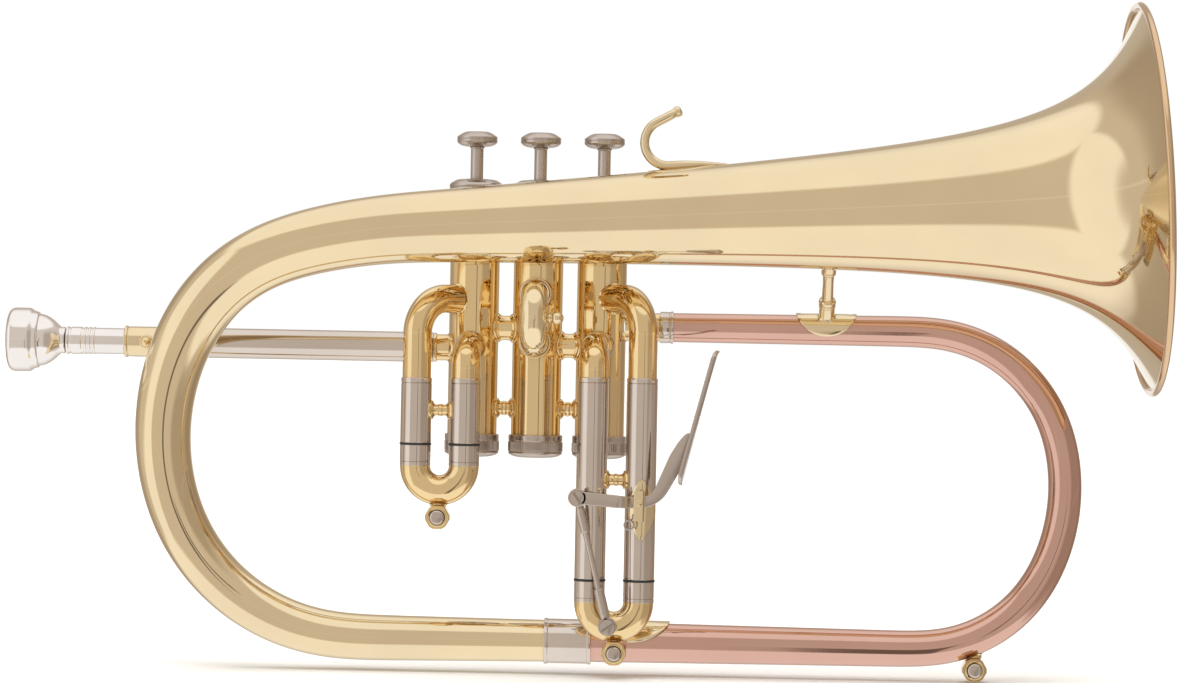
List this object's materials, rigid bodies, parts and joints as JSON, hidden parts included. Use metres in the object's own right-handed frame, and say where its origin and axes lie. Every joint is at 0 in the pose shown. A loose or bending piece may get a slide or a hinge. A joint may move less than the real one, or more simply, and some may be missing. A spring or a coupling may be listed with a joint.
{
  "type": "flugelhorn",
  "caption": "Piston-valve flugelhorn with conical bell, red brass bow, pull slides, a third-slide trigger, water keys and a removable mouthpiece.",
  "frame": {"origin": "on the second valve's axis, halfway between the outer faces of its caps", "axes": "+X towards the bell, along the mouthpipe; +Z along the valves towards their buttons; -Y towards the side the bell is on"},
  "size_m": [0.449, 0.1524, 0.2647],
  "materials": {
    "pale_brass": "clear lacquer over polished yellow brass",
    "lacquered_brass": "gold lacquer over polished brass",
    "red_brass": "clear lacquer over polished red brass",
    "nickel_silver": "polished nickel silver",
    "brushed_nickel": "satin nickel plate",
    "silver_plate": "polished silver plate",
    "spring_wire": "drawn spring wire",
    "black_rubber": "matt rubber"
  },
  "bodies": {
    "horn": {"mouthpipe_sleeve": "nickel_silver", "stub_tubes": "lacquered_brass", "bell_flare": "pale_brass", "bell_bow": "pale_brass", "red_brass_bow": "red_brass", "bow_ferrules": "nickel_silver", "bell_brace": "pale_brass", "brace_crescents": "pale_brass", "slide_stay": "pale_brass", "finger_hook": "pale_brass", "bell_stays": "pale_brass", "spool_braces": "lacquered_brass", "casing_1": "lacquered_brass", "casing_2": "lacquered_brass", "casing_3": "lacquered_brass", "knuckles": "lacquered_brass", "top_caps": "brushed_nickel", "bottom_caps": "brushed_nickel", "spring_1": "spring_wire", "spring_2": "spring_wire", "spring_3": "spring_wire", "slide_1_ports": "lacquered_brass", "slide_1_sleeves": "nickel_silver", "slide_2_sleeves": "lacquered_brass", "slide_3_ports": "lacquered_brass", "slide_3_sleeves": "nickel_silver", "trigger_foot": "pale_brass", "trigger_spring": "spring_wire", "water_key_3": "pale_brass"},
    "mouthpipe_body": {"mouthpipe": "nickel_silver"},
    "mouthpiece_body": {"mouthpiece": "silver_plate"},
    "lock_screw_body": {"lock_screw": "lacquered_brass"},
    "slide_1": {"slide_1_legs": "nickel_silver", "slide_1_crook": "lacquered_brass", "slide_1_rings": "black_rubber", "water_key_1": "pale_brass"},
    "slide_2": {"slide_2_crook": "lacquered_brass", "slide_2_knob": "pale_brass"},
    "slide_3": {"slide_3_legs": "nickel_silver", "slide_3_crook": "lacquered_brass", "slide_3_rings": "black_rubber", "crook_stud": "brushed_nickel", "water_key_2": "pale_brass"},
    "lever": {"trigger_lever": "brushed_nickel", "lever_screw": "brushed_nickel"},
    "rod": {"trigger_rod": "brushed_nickel"},
    "key_button_1_body": {"key_button_1": "brushed_nickel"},
    "key_button_2_body": {"key_button_2": "brushed_nickel"},
    "key_button_3_body": {"key_button_3": "brushed_nickel"},
    "valve_1": {"piston_1": "brushed_nickel", "stem_1": "brushed_nickel", "button_1": "brushed_nickel"},
    "valve_2": {"piston_2": "brushed_nickel", "stem_2": "brushed_nickel", "button_2": "brushed_nickel"},
    "valve_3": {"piston_3": "brushed_nickel", "stem_3": "brushed_nickel", "button_3": "brushed_nickel"}
  },
  "joints": [
    {"name": "mouthpipe_tuning", "type": "slide", "parent": "horn", "child": "mouthpipe_body", "axis": [-1, 0, 0], "range_m": [0, 0.015]},
    {"name": "mouthpiece_fit", "type": "slide", "parent": "mouthpipe_body", "child": "mouthpiece_body", "axis": [-1, 0, 0], "range_m": [0, 0.03]},
    {"name": "lock_screw_turn", "type": "hinge", "parent": "horn", "child": "lock_screw_body", "pos_m": [-0.1536, -0.008, -0.01215], "axis": [0, -1, 0], "range_deg": [0, 360]},
    {"name": "valve_1_press", "type": "slide", "parent": "horn", "child": "valve_1", "axis": [0, 0, -1], "range_m": [0, 0.012], "stiffness_N_per_m": 180, "springref_m": -0.012, "deforming": ["spring_1"]},
    {"name": "valve_2_press", "type": "slide", "parent": "horn", "child": "valve_2", "axis": [0, 0, -1], "range_m": [0, 0.012], "stiffness_N_per_m": 180, "springref_m": -0.012, "deforming": ["spring_2"]},
    {"name": "valve_3_press", "type": "slide", "parent": "horn", "child": "valve_3", "axis": [0, 0, -1], "range_m": [0, 0.012], "stiffness_N_per_m": 180, "springref_m": -0.012, "deforming": ["spring_3"]},
    {"name": "slide_1_pull", "type": "slide", "parent": "horn", "child": "slide_1", "axis": [0, 0, -1], "range_m": [0, 0.022]},
    {"name": "slide_2_pull", "type": "slide", "parent": "horn", "child": "slide_2", "axis": [0, -1, 0], "range_m": [0, 0.012]},
    {"name": "slide_3_throw", "type": "slide", "parent": "horn", "child": "slide_3", "axis": [0, 0, -1], "range_m": [0, 0.013], "stiffness_N_per_m": 250, "springref_m": -0.008},
    {"name": "trigger_pull", "type": "hinge", "parent": "horn", "child": "lever", "pos_m": [0.0417, -0.0408, -0.0703], "axis": [0, -1, 0], "range_deg": [0, 31]},
    {"name": "rod_swing", "type": "hinge", "parent": "lever", "child": "rod", "pos_m": [0.0179, -0.039, -0.06875], "axis": [0, -1, 0], "range_deg": [-34, 0]},
    {"name": "water_key_1_press", "type": "slide", "parent": "slide_1", "child": "key_button_1_body", "axis": [0, 1, 0], "range_m": [0, 0.002], "stiffness_N_per_m": 300, "springref_m": -0.003},
    {"name": "water_key_2_press", "type": "slide", "parent": "slide_3", "child": "key_button_2_body", "axis": [0, 1, 0], "range_m": [0, 0.002], "stiffness_N_per_m": 300, "springref_m": -0.003},
    {"name": "water_key_3_press", "type": "slide", "parent": "horn", "child": "key_button_3_body", "axis": [0, 1, 0], "range_m": [0, 0.002], "stiffness_N_per_m": 300, "springref_m": -0.003}
  ],
  "couplings": [
    {"joint": "trigger_pull", "follows": "slide_3_throw", "rad_per_m": 41.418},
    {"joint": "rod_swing", "follows": "slide_3_throw", "rad_per_m": -44.64}
  ]
}
